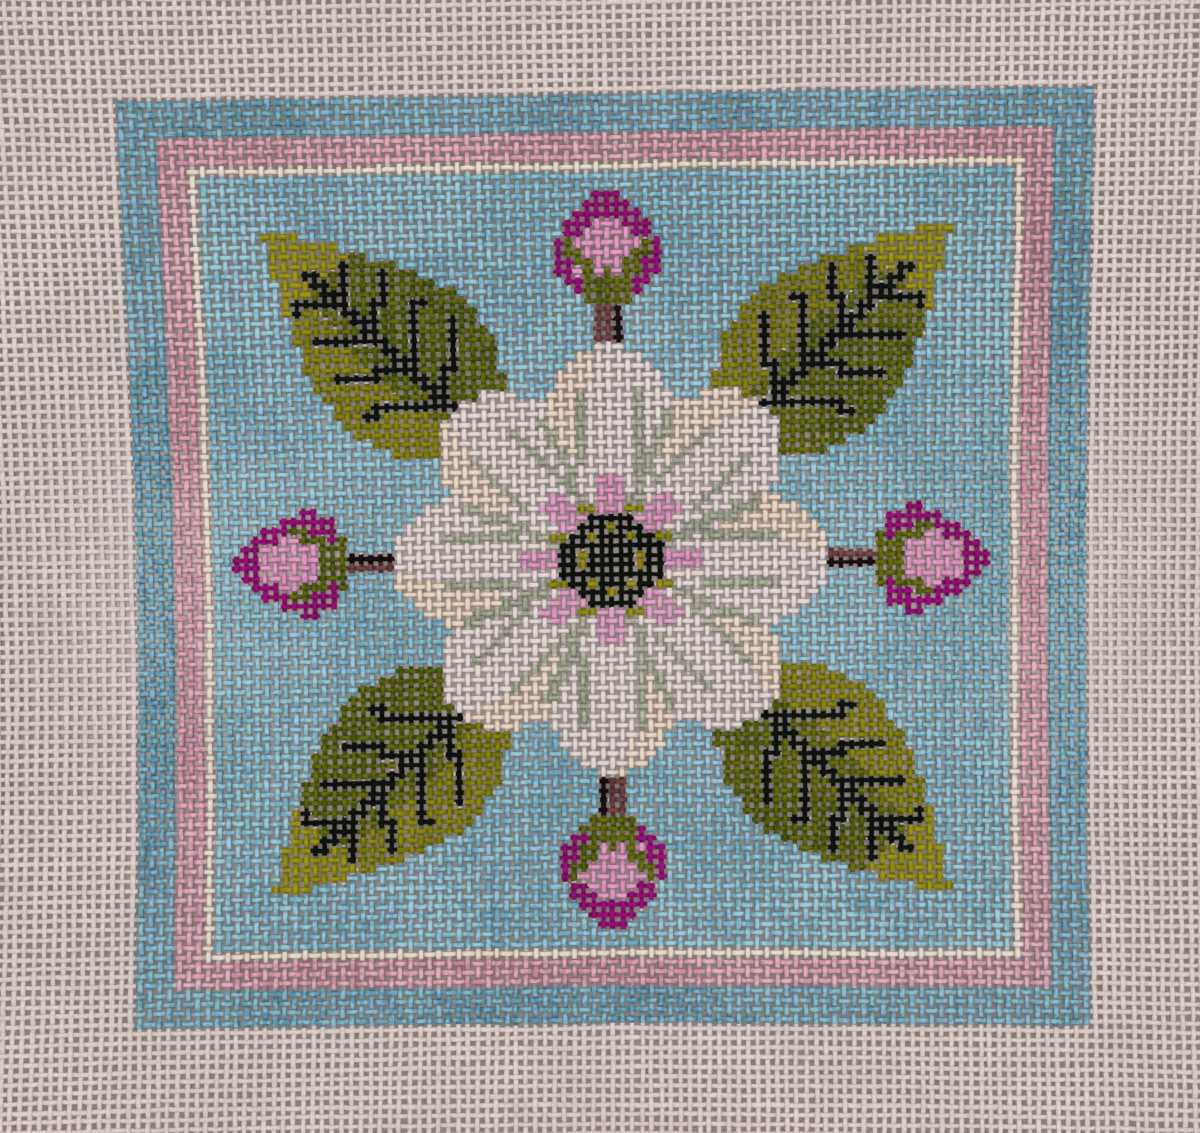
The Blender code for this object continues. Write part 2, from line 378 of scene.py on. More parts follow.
def stretches(grid):
    """The runs of one tone along each line of a grid of tones, where -1 is no thread: the
    line, first cell, count of cells and tone of each."""
    lines, cells = grid.shape
    padded = np.full((lines, cells + 2), -1)
    padded[:, 1:-1] = grid
    line, at = np.nonzero(padded[:, 1:] != padded[:, :-1])
    same = line[1:] == line[:-1]
    line, first, last = line[:-1][same], at[:-1][same], at[1:][same]
    tone = padded[line, first + 1]
    kept = tone >= 0
    return line[kept], first[kept], (last - first)[kept], tone[kept]


def section():
    """A thread's section: a power of a cosine across, which flattens its top, and a sine up.
    Returns its corners' places across and up, from -1 to 1 at the widest."""
    angle = math.tau * (np.arange(SIDES) + 0.5) / SIDES + math.pi / 2
    right = np.sign(np.cos(angle)) * np.abs(np.cos(angle)) ** FLATNESS
    return right / np.abs(right).max(), np.sin(angle)


def skin(along, is_first, is_last):
    """The faces of tubes, from how far along its thread each ring lies and which rings are
    ends: walls from ring to ring, their UV map of the way round and the way along, and a
    cap on each end."""
    corner = np.arange(SIDES)
    after = np.roll(corner, -1)
    ring = np.nonzero(~is_last)[0]
    base = (ring * SIDES)[:, None]
    walls = np.stack([base + corner, base + after, base + after + SIDES, base + corner + SIDES], 2)
    starts = (np.nonzero(is_first)[0] * SIDES)[:, None] + corner[::-1]
    stops = (np.nonzero(is_last)[0] * SIDES)[:, None] + corner
    turn = np.broadcast_to(corner / SIDES, (len(ring), SIDES))
    next_turn = turn + 1 / SIDES
    length = np.broadcast_to(along[ring][:, None], turn.shape)
    further = np.broadcast_to(along[ring + 1][:, None], turn.shape)
    uv = np.stack([turn, length, next_turn, length, next_turn, further, turn, further], 2)
    return walls.reshape(-1, 4), uv.reshape(-1, 4, 2), np.concatenate([starts, stops])


def tubes(grid, way, yarn):
    """The threads of one way through a grid of tones, as closed tubes of BARE or PAINTED
    yarn. A tube has rings a quarter pitch before and after each crossing, raised over or
    sunk under the thread that it crosses, and one ring at each end, halfway between two
    crossings. Returns points, walls, the walls' UV map, caps and the points' attributes."""
    half_wide, crimp = yarn
    is_warp = way == "warp"
    line, first, count, tone = stretches(grid)
    rings = 2 * count + 2
    run = np.repeat(np.arange(len(count)), rings)
    step = np.arange(rings.sum()) - np.repeat(np.cumsum(rings) - rings, rings)
    thread = line[run]
    is_first = step == 0
    is_last = step == rings[run] - 1
    ends = is_first | is_last
    along = first[run] - 0.5 + np.clip((step - 0.5) / 2, 0, count[run])
    edge = first[run] + np.where(is_last, count[run], 0)
    along = along + np.where(ends, PAINT_EDGE[way][thread, edge], 0)

    # A ring at an end takes the mean of the cell past it and the run's outermost cell.
    cell = np.clip(first[run] + (step - 1) // 2, 0, grid.shape[1] - 1)
    other = np.clip(cell + is_first - is_last, 0, grid.shape[1] - 1)
    crossing = (thread, cell) if is_warp else (cell, thread)
    next_crossing = (thread, other) if is_warp else (other, thread)
    stray_x = (STRAY_X[crossing] + STRAY_X[next_crossing]) / 2
    stray_y = (STRAY_Y[crossing] + STRAY_Y[next_crossing]) / 2
    full = (FULLNESS[way][thread, cell] + FULLNESS[way][thread, other]) / 2
    over = np.where(((thread + cell) % 2 == 0) == is_warp, 1.0, -1.0)
    over = np.where(ends, 0.0, over)
    wide = half_wide * full * (WARP_IS_WIDER if is_warp else 1 / WARP_IS_WIDER)
    tall = HALF_HEIGHT * np.sqrt(full)

    right, upward = section()
    across = wide[:, None] * right
    column, row = (thread, along) if is_warp else (along, thread)
    x = ((column - (COLUMNS - 1) / 2) * PITCH + stray_x)[:, None] + across * is_warp
    y = ((row - (ROWS - 1) / 2) * PITCH + stray_y)[:, None] + across * (not is_warp)
    z = WEAVE_Z + crimp * over[:, None] + tall[:, None] * upward
    points = np.stack([x, y, z], axis=2).reshape(-1, 3)
    walls, uv, caps = skin(along, is_first, is_last)
    if is_warp:
        walls, uv, caps = walls[:, ::-1], uv[:, ::-1], caps[:, ::-1]
    marks = {
        "tone": np.repeat(tone[run], SIDES),
        "over": np.repeat(over, SIDES),
        "facing": np.tile(upward, len(run)),
        "brink": np.repeat(ends * 1.0, SIDES),
        "thread": np.repeat(THREAD_TINT[way][thread], SIDES),
    }
    return points, walls, uv, caps, marks


def linked(name, data):
    """An object for a mesh, a light or a camera, in the scene."""
    obj = bpy.data.objects.new(name, data)
    bpy.context.collection.objects.link(obj)
    return obj


def woven(name, grid, tones, yarn):
    """A stretch of the canvas: the warp and weft tubes of every cell of a grid that has a
    tone from 0 up. The tone attribute is spread from 0 to 1 for a ramp of that many tones."""
    sets = [tubes(grid, "warp", yarn), tubes(grid.T, "weft", yarn)]
    shift = len(sets[0][0])
    points = np.concatenate([s[0] for s in sets])
    walls = np.concatenate([sets[0][1], sets[1][1] + shift])
    uv = np.concatenate([s[2] for s in sets])
    caps = np.concatenate([sets[0][3], sets[1][3] + shift])
    mesh = bpy.data.meshes.new(name)
    mesh.vertices.add(len(points))
    mesh.vertices.foreach_set("co", settle(points).ravel())
    mesh.loops.add(walls.size + caps.size)
    mesh.loops.foreach_set("vertex_index", np.concatenate([walls.ravel(), caps.ravel()]))
    mesh.polygons.add(len(walls) + len(caps))
    wall_starts = np.arange(len(walls)) * 4
    cap_starts = walls.size + np.arange(len(caps)) * SIDES
    mesh.polygons.foreach_set("loop_start", np.concatenate([wall_starts, cap_starts]))
    mesh.update(calc_edges=True)
    layer = mesh.uv_layers.new(name="thread")
    layer.data.foreach_set("uv", np.concatenate([uv.ravel(), np.zeros(caps.size * 2)]))
    flat = mesh.attributes.new("sharp_face", "BOOLEAN", "FACE")
    flat.data.foreach_set("value", np.arange(len(walls) + len(caps)) >= len(walls))
    for key in sets[0][4]:
        values = np.concatenate([s[4][key] for s in sets])
        if key == "tone":
            values = (values + 0.5) / tones
        mesh.attributes.new(key, "FLOAT", "POINT").data.foreach_set("value", values)
    return linked(name, mesh)


# What is painted where. X and Y are a cell's place in threads from the canvas's centre.
# RING counts inwards from 0 at the painted square's edge, and is below 0 in the margins.
COLUMN, ROW = np.meshgrid(np.arange(COLUMNS), np.arange(ROWS), indexing="ij")
X = COLUMN - (COLUMNS - 1) / 2
Y = ROW - (ROWS - 1) / 2
RADIUS = np.hypot(X, Y)
RING = np.minimum(
    np.minimum(COLUMN, COLUMNS - 1 - COLUMN) - MARGIN,
    np.minimum(ROW, ROWS - 1 - ROW) - MARGIN,
)


def polar(angle):
    """How far each cell lies along a direction from the centre, and to its left."""
    cos, sin = math.cos(angle), math.sin(angle)
    return X * cos + Y * sin, Y * cos - X * sin


def half_width(along, start, end, widest, belly, bluntness):
    """A spindle's half-width along its length: a power of a sine."""
    t = np.clip((along - start) / (end - start), 0.0, 1.0)
    return widest * np.sin(math.pi * t**belly) ** bluntness


def within(along, side, outline):
    """True for the cells inside a spindle."""
    start, end = outline[:2]
    return (np.abs(side) <= half_width(along, *outline)) & (along > start) & (along < end)


def ring_of_dots(radius, turn, size):
    """Dots of a size on a circle, one to a petal, turned by a part of a petal."""
    dots = np.zeros(X.shape, bool)
    for k in range(PETALS):
        along, side = polar(math.tau * (k + turn) / PETALS)
        dots |= np.hypot(along - radius, side) <= size
    return dots


def heart_grid():
    """The dark heart, with a ring of dots in it."""
    dots = ring_of_dots(radius=3.2, turn=0, size=0.55)
    return np.where(RADIUS <= HEART_RADIUS, dots.astype(int), -1)


def petal_grid():
    """Eight petals, each with a shaded side, two sage veins and a flush at its root, and a
    sage seam where it meets the next. Dots ring the heart."""
    shade_start, shade_share = 11, 0.35
    flush_end, flush_half = 9.5, 1.3
    vein_end, vein_side, vein_half = 18, 2.6, 0.5
    seam_end = 17
    sector = np.round(np.arctan2(Y, X) / (math.tau / PETALS)).astype(int) % PETALS
    inside = np.zeros(X.shape, bool)
    grid = np.full(X.shape, WHITE)
    for k in range(PETALS):
        along, side = polar(math.tau * k / PETALS)
        petal = within(along, side, PETAL)
        inside |= petal
        mine = petal & (sector == k)
        shaded = (side > shade_share * half_width(along, *PETAL)) & (along > shade_start)
        grid[mine & shaded] = SHADE
        side = np.abs(side)
        vein = (np.abs(side - vein_side) <= vein_half) & (along > flush_end) & (along < vein_end)
        grid[mine & vein] = SAGE
        grid[mine & (side <= flush_half) & (along < flush_end)] = ROSE
    seam = (sector != np.roll(sector, -1, 0)) | (sector != np.roll(sector, -1, 1))
    grid[seam & (RADIUS < seam_end)] = SAGE
    grid[ring_of_dots(radius=6.0, turn=0.5, size=0.8)] = DOT
    return np.where(inside, grid, -1)


def leaf_grid(k):
    """A leaf on a diagonal: moss and olive halves, a lime tip, a midrib and side veins."""
    olive_share = 0.3
    tip = 42
    rib_start, rib_end, rib_half = 20, 44, 0.75
    vein_roots, vein_slope, vein_half = (24, 29, 34, 39), 0.75, 0.72
    vein_start, vein_share = 0.7, 0.78
    along, side = polar(math.tau * (k + 0.5) / 4)
    width = half_width(along, *LEAF)
    grid = np.where(side > olive_share * width, OLIVE, MOSS)
    grid[along > tip] = LIME
    side = np.abs(side)
    grid[(side <= rib_half) & (along > rib_start) & (along < rib_end)] = VEIN
    for root in vein_roots:
        vein = np.abs(along - root - vein_slope * side) <= vein_half
        grid[vein & (side < vein_share * width) & (side > vein_start)] = VEIN
    return np.where(within(along, side, LEAF), grid, -1)


def bud_grid(k):
    """A bud on a compass point: pale middle, magenta rim and tip, and a calyx that cups its
    root and forks into two prongs."""
    rim, tip = 2.2, 36
    cup, cup_slope = 31.2, 0.9
    prong_root, prong_end, prong_slope, prong_half = 26.5, 34, 0.55, 0.8
    along, side = polar(math.tau * k / 4)
    side = np.abs(side)
    edge = (side > half_width(along, *BUD) - rim) | (along > tip)
    prong = np.abs(side - prong_slope * (along - prong_root)) <= prong_half
    calyx = (along < cup - cup_slope * side) | (prong & (along < prong_end))
    grid = np.where(edge, MAGENTA, PALE)
    grid[calyx] = CALYX
    return np.where(within(along, side, BUD), grid, -1)


def stalk_grid(k):
    """A stalk from the petals to a bud, with a dark bark side."""
    bark_start = 0.4
    along, side = polar(math.tau * k / 4)
    start, end, wide = STALK
    inside = (along > start) & (along < end) & (np.abs(side) <= wide)
    return np.where(inside, np.where(side < -bark_start, BARK, BROWN), -1)


def designs():
    """Each painted piece: its name, the node that it stands for, its paint slot, its grid
    of tones and its colours, from the top paint down. A cell belongs to the first."""
    yield "heart_canvas", "flower_heart", "heart_paint", heart_grid(), HEART_TONES
    yield "petal_canvas", "flower_petals", "petal_paint", petal_grid(), PETAL_TONES
    for k in range(4):
        yield f"leaf_canvas_{k + 1}", f"leaf_{k + 1}", "leaf_paint", leaf_grid(k), LEAF_TONES
    for k in range(4):
        yield f"bud_canvas_{k + 1}", f"bud_{k + 1}", "bud_paint", bud_grid(k), BUD_TONES
        yield f"stalk_canvas_{k + 1}", f"stalk_{k + 1}", "stalk_paint", stalk_grid(k), STALK_TONES
    cream_start = BLUE_BAND + PINK_BAND
    sky_start = cream_start + CREAM_LINE
    for name, slot, first, last, tones in (
        ("sky_ground", "sky_paint", sky_start, PAINTED_COLUMNS, SKY_TONES),
        ("cream_line", "cream_paint", cream_start, sky_start, CREAM_TONES),
        ("pink_band", "pink_paint", BLUE_BAND, cream_start, PINK_TONES),
        ("blue_band", "blue_paint", 0, BLUE_BAND, BLUE_TONES),
    ):
        grid = np.where((RING >= first) & (RING < last), 0, -1)
        yield f"{name}_canvas", name, slot, grid, tones


def margins():
    """The four bare strips round the painted square, up to where the tape hides them."""
    bare = (RING < 0) & (RING >= TAPE_COVERS - 1 - MARGIN)
    above = ROW >= ROWS - MARGIN
    below = ROW < MARGIN
    for name, strip in (
        ("canvas_top", above),
        ("canvas_bottom", below),
        ("canvas_left", ~above & ~below & (X < 0)),
        ("canvas_right", ~above & ~below & (X > 0)),
    ):
        yield name, np.where(bare & strip, 0, -1)


# Materials.


class Nodes:
    """Short ways to add nodes to a tree and join them."""

    def __init__(self, tree):
        self.tree = tree

    def add(self, kind, values=(), **settings):
        """A new node, whose inputs are given as values or as the sockets to join."""
        node = self.tree.nodes.new(kind)
        for key, value in settings.items():
            setattr(node, key, value)
        for key, value in dict(values).items():
            if isinstance(value, bpy.types.NodeSocket):
                self.tree.links.new(value, node.inputs[key])
            else:
                node.inputs[key].default_value = value
        return node

    def math(self, operation, a, b=0.0, clamp=False):
        values = {0: a, 1: b}
        return self.add("ShaderNodeMath", values, operation=operation, use_clamp=clamp).outputs[0]

    def mix(self, factor, a, b, blend="MIX"):
        values = {0: factor, 6: a, 7: b}
        return self.add("ShaderNodeMix", values, data_type="RGBA", blend_type=blend).outputs[2]

    def between(self, value, low, high, to_low=0.0, to_high=1.0):
        """Eases from to_low to to_high as a value goes from low to high."""
        values = {0: value, 1: low, 2: high, 3: to_low, 4: to_high}
        return self.add("ShaderNodeMapRange", values, interpolation_type="SMOOTHSTEP").outputs[0]

    def noise(self, vector, scale, detail=2.0, roughness=0.5):
        values = {"Vector": vector, "Scale": scale, "Detail": detail, "Roughness": roughness}
        return self.add("ShaderNodeTexNoise", values).outputs["Fac"]

    def read(self, name):
        """A number that the mesh carries."""
        return self.add("ShaderNodeAttribute", attribute_name=name).outputs["Fac"]

    def thread_uv(self):
        """The way round and the way along a thread, or along and across the tape."""
        uv = self.add("ShaderNodeUVMap", uv_map="thread").outputs[0]
        return self.add("ShaderNodeSeparateXYZ", {0: uv}).outputs

    def placed(self, group, values=()):
        """The outputs of a group, whose own values are given by name."""
        return self.add("ShaderNodeGroup", values, node_tree=group).outputs


def socketed(name, inputs, outputs):
    """A new shader group, from its inputs' names and values and its outputs' names: the
    helper for its nodes, the sockets that it is given, and its end node."""
    group = bpy.data.node_groups.new(name, "ShaderNodeTree")
    for label, value in inputs.items():
        socket = group.interface.new_socket(label, in_out="INPUT", socket_type="NodeSocketFloat")
        socket.default_value = value
    for label in outputs:
        group.interface.new_socket(label, in_out="OUTPUT", socket_type="NodeSocketFloat")
    given = group.nodes.new("NodeGroupInput").outputs
    return Nodes(group), given, group.nodes.new("NodeGroupOutput")


def put_out(n, end, values):
    """Joins values to a group's outputs by name, and returns the group."""
    for label, value in values.items():
        n.tree.links.new(value, end.inputs[label])
    return n.tree


def twist_group():
    """Plied cotton: the plies wind round the thread as a slanted wave of its UV map, and
    fine fibres run with them as a stretched noise. Height is for a bump, Grooves is 1
    between two plies, and Fibres is a streaky mask."""
    n, given, end = socketed(
        "plied cotton",
        {"Plies": 3.0, "Turns": 1.1},
        ("Height", "Grooves", "Fibres"),
    )
    uv = n.thread_uv()
    tint = n.read("thread")
    wound = n.math("MULTIPLY", uv[0], given["Plies"])
    run = n.math("MULTIPLY", uv[1], given["Turns"])
    phase = n.math("ADD", n.math("ADD", wound, run), tint)
    wave = n.math("ABSOLUTE", n.math("SINE", n.math("MULTIPLY", phase, math.pi)))
    grooves = n.between(wave, 0.0, 0.45, 1.0, 0.0)
    streaks_across = n.math("MULTIPLY", phase, 9.0)
    streaks_shift = n.math("MULTIPLY", tint, 40.0)
    streaks = n.add("ShaderNodeCombineXYZ", {0: streaks_across, 1: uv[1], 2: streaks_shift})
    fibres = n.noise(streaks.outputs[0], scale=2.2, roughness=0.6)
    height = n.math("ADD", n.math("MULTIPLY", wave, 0.6), n.math("MULTIPLY", fibres, 0.5))
    return put_out(n, end, {"Height": height, "Grooves": grooves, "Fibres": fibres})


def handling_group():
    """What brush and hand leave all over the cloth, from noise in metres: broad blotches,
    patches nine times finer, and flecks and wider gaps finer still."""
    n, given, end = socketed(
        "handled cloth",
        {"Blotch size": 30.0, "Speck size": 900.0},
        ("Blotch", "Patch", "Gap", "Fleck"),
    )
    spot = n.add("ShaderNodeTexCoord").outputs["Object"]
    patch_size = n.math("MULTIPLY", given["Blotch size"], 9.0)
    gap_size = n.math("MULTIPLY", given["Speck size"], 0.35)
    values = {
        "Blotch": n.between(n.noise(spot, given["Blotch size"]), 0.35, 0.65),
        "Patch": n.between(n.noise(spot, patch_size, roughness=0.6), 0.3, 0.7),
        "Gap": n.between(n.noise(spot, gap_size, detail=1.0), 0.55, 0.68),
        "Fleck": n.between(n.noise(spot, given["Speck size"], detail=1.0), 0.35, 0.65),
    }
    return put_out(n, end, values)


TWIST = twist_group()
HANDLING = handling_group()


def material(name, roughness, specular, sheen):
    """An empty matt material with its Principled shader, and the helper for its nodes."""
    made = bpy.data.materials.new(name)
    made.use_nodes = True
    shader = made.node_tree.nodes["Principled BSDF"]
    shader.inputs["Roughness"].default_value = roughness
    shader.inputs["Specular IOR Level"].default_value = specular
    shader.inputs["Sheen Weight"].default_value = sheen
    shader.inputs["Sheen Roughness"].default_value = SHEEN_ROUGHNESS
    return made, Nodes(made.node_tree), shader


def finish(n, shader, base, height, strength, distance):
    """Joins a base colour and the bump of a height to a shader."""
    n.tree.links.new(base, shader.inputs["Base Color"])
    values = {"Height": height, "Strength": strength, "Distance": distance}
    n.tree.links.new(n.add("ShaderNodeBump", values).outputs[0], shader.inputs["Normal"])


def ramp(n, colours, factor):
    """A ramp of equal flat steps."""
    node = n.add("ShaderNodeValToRGB", {0: factor})
    node.color_ramp.interpolation = "CONSTANT"
    while len(node.color_ramp.elements) < len(colours):
        node.color_ramp.elements.new(1.0)
    for k, colour in enumerate(colours):
        node.color_ramp.elements[k].position = k / len(colours)
        node.color_ramp.elements[k].color = srgb(*colour)
    return node.outputs[0]


def cotton():
    """Bare sized cotton, off-white, darker along its fibres and where it was handled, with painted shade in its ply
    grooves and where it dives under."""
    made, n, shader = material("bare cotton", roughness=0.9, specular=0.2, sheen=0.25)
    twist = n.placed(TWIST)
    cloth = n.placed(HANDLING)
    base = n.mix(n.read("thread"), COTTON_DULL, COTTON_BRIGHT)
    base = n.mix(n.math("MULTIPLY", cloth["Patch"], 0.5), base, COTTON_PATCH)
    base = n.mix(n.math("MULTIPLY", cloth["Blotch"], 0.3), base, COTTON_STAIN)
    # Painted shade in the grooves between the plies.
    base = n.mix(n.math("MULTIPLY", twist["Grooves"], 0.3), base, COTTON_GROOVE_SHADE)
    base = n.mix(n.between(twist["Fibres"], 0.45, 0.75, 0.0, 0.4), base, COTTON_FIBRE)
    base = n.mix(n.math("MULTIPLY", cloth["Fleck"], 0.3), base, COTTON_FLECK)
    # Painted shade where the thread dives under the one it crosses.
    base = n.mix(n.between(n.read("over"), -1.0, 0.2, 0.15, 0.0), base, COTTON_UNDER_SHADE)
    finish(n, shader, base, twist["Height"], 0.7, PLY_DEPTH)
    return made


def paint(name, tones):
    """Matt acrylic brushed on from above: each tone lies thick or thin by thread, in blotches and in patches, darkens
    where a thread dives under and in its ply grooves, as pooled paint and painted shade, misses gaps at the ends of
    its runs, and leaves the underside partly bare."""
    made, n, shader = material(name, roughness=0.75, specular=0.08, sheen=0.0)
    twist = n.placed(TWIST)
    cloth = n.placed(HANDLING)
    tone = n.read("tone")
    thick = ramp(n, [pair[0] for pair in tones], tone)
    thin = ramp(n, [pair[1] for pair in tones], tone)

    by_thread = n.math("MULTIPLY", n.read("thread"), 0.4)
    thinness = n.math("ADD", by_thread, n.math("MULTIPLY", cloth["Patch"], 0.6))
    by_blotch = n.math("MULTIPLY", cloth["Blotch"], MOTTLE)
    thinness = n.math("ADD", n.math("MULTIPLY", thinness, 1 - MOTTLE), by_blotch)
    thinness = n.math("ADD", thinness, n.between(twist["Fibres"], 0.3, 0.7, -0.35, 0.35))
    by_fleck = n.between(cloth["Fleck"], 0.0, 1.0, -0.4, 0.4)
    thinness = n.math("ADD", thinness, by_fleck, clamp=True)
    base = n.mix(thinness, thick, thin)

    # Pooled paint and painted shade: a grey darkening where the thread dives under, and in its ply grooves.
    pooled_and_shaded = n.mix(1.0, base, POOL_AND_SHADE, "MULTIPLY")
    base = n.mix(n.between(n.read("over"), -1.0, 0.6, 0.7, 0.0), base, pooled_and_shaded)
    base = n.mix(n.math("MULTIPLY", twist["Grooves"], 0.25), base, pooled_and_shaded)

    streaks = n.math("MULTIPLY", n.math("SUBTRACT", twist["Fibres"], 0.5), 1.6)
    underside = n.between(n.math("ADD", n.read("facing"), streaks), -1.1, -0.3, 0.75, 0.0)
    missed = n.math("MULTIPLY", n.read("brink"), cloth["Gap"])
    bare = n.math("MAXIMUM", underside, n.between(missed, 0.45, 0.7, 0.0, 0.85))
    base = n.mix(bare, base, UNPAINTED)
    finish(n, shader, base, twist["Height"], 0.6, PLY_DEPTH)
    return made


def tape_material():
    """White cotton tape: a fine woven relief, pressed over the threads beneath it, with painted shade in the weave's
    low parts, and darker where it was handled."""
    made, n, shader = material("cloth tape", roughness=0.62, specular=0.25, sheen=0.15)
    cloth = n.placed(HANDLING, {"Blotch size": 60.0})
    uv = n.thread_uv()
    along = n.math("SINE", n.math("MULTIPLY", uv[0], math.tau * TAPE_WAVES))
    across = n.math("SINE", n.math("MULTIPLY", uv[1], math.tau * TAPE_WAVES))
    weave = n.math("MULTIPLY", along, across)
    base = n.mix(cloth["Patch"], TAPE_DULL, TAPE_BRIGHT)
    base = n.mix(n.math("MULTIPLY", cloth["Blotch"], 0.35), base, TAPE_STAIN)
    # Painted shade in the low parts of the weave.
    base = n.mix(n.between(weave, -1.0, 1.0, 0.12, 0.0), base, TAPE_GROOVE_SHADE)
    pressed = n.math("MULTIPLY", n.read("relief"), 3.0)
    finish(n, shader, base, n.math("ADD", pressed, weave), 0.5, TAPE_RELIEF)
    return made


# Tape.


def fold_profile():
    """The tape's fold: flat from its upper flap's free edge, half round the cloth's edge, and
    flat back below. Returns the distance outwards and the height of the outer skin, the
    way that the skin faces as a sine and cosine, and the length walked along it."""
    radius = TAPE_TOP_Z / 2
    flat = TAPE_WIDTH - radius
    walked = np.linspace(0, 2 * flat + math.pi * radius, FOLD_POINTS)
    turn = np.clip((walked - flat) / radius, 0, math.pi)
    back = np.clip(walked - flat - math.pi * radius, 0, None)
    outwards = np.minimum(walked, flat) - back + radius * np.sin(turn)
    return outwards, radius + radius * np.cos(turn), np.sin(turn), np.cos(turn), walked


def tape(name, node, along_x, sign):
    """A strip of tape folded over one edge, as a closed skin round its fold profile. Its
    flaps dip between the threads below them as a product of two cosines of the pitch, and
    its free edges stray as two sines. The side strips' ends are squeezed flatter, and
    tucked under the other two."""
    low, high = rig.box(node)
    axis = 0 if along_x else 1
    tuck = 0.0 if along_x else TUCK
    begin, end = low[axis] - tuck, high[axis] + tuck
    edge = high[1 - axis] if sign > 0 else -low[1 - axis]
    s = np.linspace(begin, end, int((end - begin) / (PITCH / 2)))
    outwards, height, away_x, away_z, walked = fold_profile()
    out = np.concatenate([outwards, (outwards - away_x * TAPE_THICKNESS)[::-1]])
    up = np.concatenate([height, (height - away_z * TAPE_THICKNESS)[::-1]])
    way = np.concatenate([walked, walked[::-1]])
    flap = np.concatenate([away_z, away_z[::-1]])
    grid_s, grid_out = np.meshgrid(s, edge - TAPE_WIDTH + out, indexing="ij")
    press = np.cos(math.tau * grid_s / PITCH) * np.cos(math.tau * grid_out / PITCH)
    grid_up = up - np.abs(flap) * flap * TAPE_DIP * (1 - press)
    if tuck:
        tucked = np.clip((np.abs(grid_s) - high[axis] + TUCK_START) / TUCK_EASE, 0, 1)
        grid_up += (TAPE_TOP_Z / 2 - grid_up) * TUCK_SQUEEZE * tucked
        grid_out -= TUCK_INSET * tucked
    ragged = sum(size * np.sin(grid_s * turns + k * sign) for size, turns, k in TAPE_RAGGED)
    free = np.clip(1 - (grid_out - edge + TAPE_WIDTH) / TAPE_RAGGED_REACH, 0, 1)
    grid_out = grid_out + ragged * free
    x, y = (grid_s, sign * grid_out) if along_x else (sign * grid_out, grid_s)
    points = settle(np.stack([x, y, grid_up], axis=2).reshape(-1, 3))

    rows, ring = grid_s.shape
    index = np.arange(rows * ring).reshape(rows, ring)
    after = np.roll(index, -1, axis=1)
    walls = np.stack([index[:-1], index[1:], after[1:], after[:-1]], axis=2).reshape(-1, 4)
    outer = index[[0, -1], : ring // 2]
    inner = index[[0, -1], : ring // 2 - 1 : -1]
    caps = np.stack([outer[:, :-1], outer[:, 1:], inner[:, 1:], inner[:, :-1]], axis=2)
    faces = np.concatenate([walls, caps[0], caps[1][:, ::-1]])
    if along_x != (sign > 0):
        faces = faces[:, ::-1]
    mesh = bpy.data.meshes.new(name)
    mesh.from_pydata(points.tolist(), [], faces.tolist())
    mesh.update()
    layer = mesh.uv_layers.new(name="thread")
    uv = np.stack([grid_s, np.broadcast_to(way, grid_s.shape)], axis=2).reshape(-1, 2)
    layer.data.foreach_set("uv", uv[faces.ravel()].ravel())
    mesh.attributes.new("relief", "FLOAT", "POINT").data.foreach_set("value", press.ravel())
    mesh.shade_smooth()
    return linked(name, mesh)


# The scene.


def light(name, spot, size, power, colour):
    """A soft square light that faces the canvas's middle."""
    data = bpy.data.lights.new(name, "AREA")
    data.size = size
    data.energy = power
    data.color = colour
    obj = linked(name, data)
    obj.location = spot
    obj.rotation_euler = (-Vector(spot)).to_track_quat("-Z", "Y").to_euler()


def studio():
    """A pale matt floor, one large light above the picture's top edge and soft fill."""
    mesh = bpy.data.meshes.new("floor")
    r = FLOOR_REACH
    mesh.from_pydata([(-r, -r, 0), (r, -r, 0), (r, r, 0), (-r, r, 0)], [], [(0, 1, 2, 3)])
    made, _, shader = material("pale floor", roughness=0.9, specular=0.2, sheen=0.0)
    shader.inputs["Base Color"].default_value = FLOOR_COLOUR
    mesh.materials.append(made)
    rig.stage(linked("floor", mesh))
    light("window", *WINDOW)
    light("fill", *FILL)
    world = bpy.data.worlds.new("room")
    world.use_nodes = True
    world.node_tree.nodes["Background"].inputs["Color"].default_value = ROOM_COLOUR
    world.node_tree.nodes["Background"].inputs["Strength"].default_value = ROOM_STRENGTH
    bpy.context.scene.world = world
    bpy.context.scene.view_settings.view_transform = "Standard"


def camera():
    """Straight above, framed so that the photograph's width holds what it shows."""
    data = bpy.data.cameras.new("camera")
    data.sensor_width = SENSOR_WIDTH
    data.lens = SENSOR_WIDTH * PIXELS_PER_METRE * CAMERA_AT[2] / PHOTO_WIDTH
    data.clip_start = CLIP_START
    obj = linked("camera", data)
    obj.location = CAMERA_AT
    bpy.context.scene.camera = obj


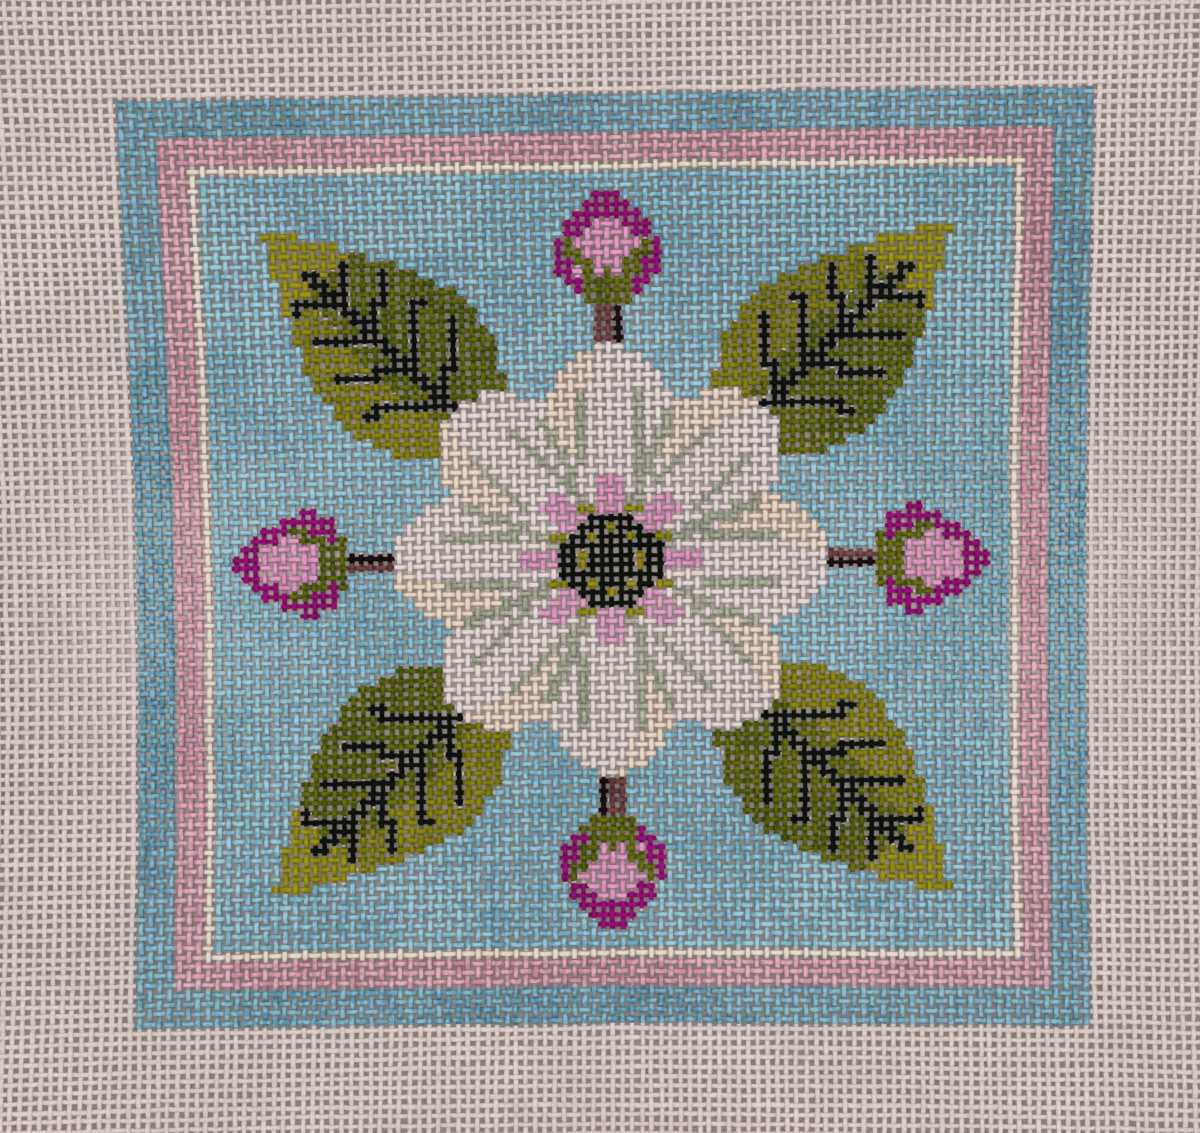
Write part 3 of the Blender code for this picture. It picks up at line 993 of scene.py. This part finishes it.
def place(obj, nodes, slot):
    """Says which nodes and slot a piece stands for. Nothing here moves."""
    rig.ride(obj, "root")
    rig.replaces(obj, *nodes)
    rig.slot(obj, slot)


def cut_size(grid):
    """A stretch of canvas laid flat: its width and length, and its area."""
    columns = np.nonzero((grid >= 0).any(axis=1))[0]
    rows = np.nonzero((grid >= 0).any(axis=0))[0]
    flat = (np.ptp(columns) + 1) * PITCH, (np.ptp(rows) + 1) * PITCH
    return {"flat": flat, "area": (grid >= 0).sum() * PITCH**2}


def lay_margins():
    """The bare canvas round the painted square."""
    bare = cotton()
    for name, grid in margins():
        piece = woven(name, grid, 1, BARE)
        piece.data.materials.append(bare)
        place(piece, ("warp_threads", "weft_threads"), "cotton")
        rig.sheet(piece, held="laid", **cut_size(grid))


def lay_painted_square():
    """The painted canvas, in a piece to each design, declared with the ground's sheet."""
    free = RING >= 0
    paints = {}
    painted = []
    for name, node, slot, grid, tones in designs():
        grid = np.where(free, grid, -1)
        free = free & (grid < 0)
        if slot not in paints:
            paints[slot] = paint(slot.replace("_", " "), tones)
        piece = woven(name, grid, len(tones), PAINTED)
        piece.data.materials.append(paints[slot])
        place(piece, (node,), slot)
        painted.append(piece)
        if node == "sky_ground":
            ground = piece
            ground_size = cut_size(grid)
    others = [piece for piece in painted if piece is not ground]
    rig.sheet(ground, held="laid", with_pieces=others, **ground_size)


def fold_tapes():
    """The four strips of tape over the cut edges."""
    cloth = tape_material()
    for side, (along_x, sign) in TAPES.items():
        piece = tape(f"cloth_tape_{side}", f"tape_{side}", along_x, sign)
        piece.data.materials.append(cloth)
        place(piece, (f"tape_{side}",), "tape")
        low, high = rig.box(f"tape_{side}")
        long = high[0] - low[0] if along_x else high[1] - low[1] + 2 * TUCK
        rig.sheet(piece, flat=(2 * TAPE_WIDTH + TAPE_TOP_Z, long), held="folded")


def main():
    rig.load()
    cad = [list(corner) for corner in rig.bounds()]
    camera()
    studio()
    lay_margins()
    lay_painted_square()
    fold_tapes()
    drawn = [list(corner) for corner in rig.bounds()]
    with open(SIZE_FILE, "w") as file:
        json.dump({"cad": cad, "visual": drawn}, file)


main()
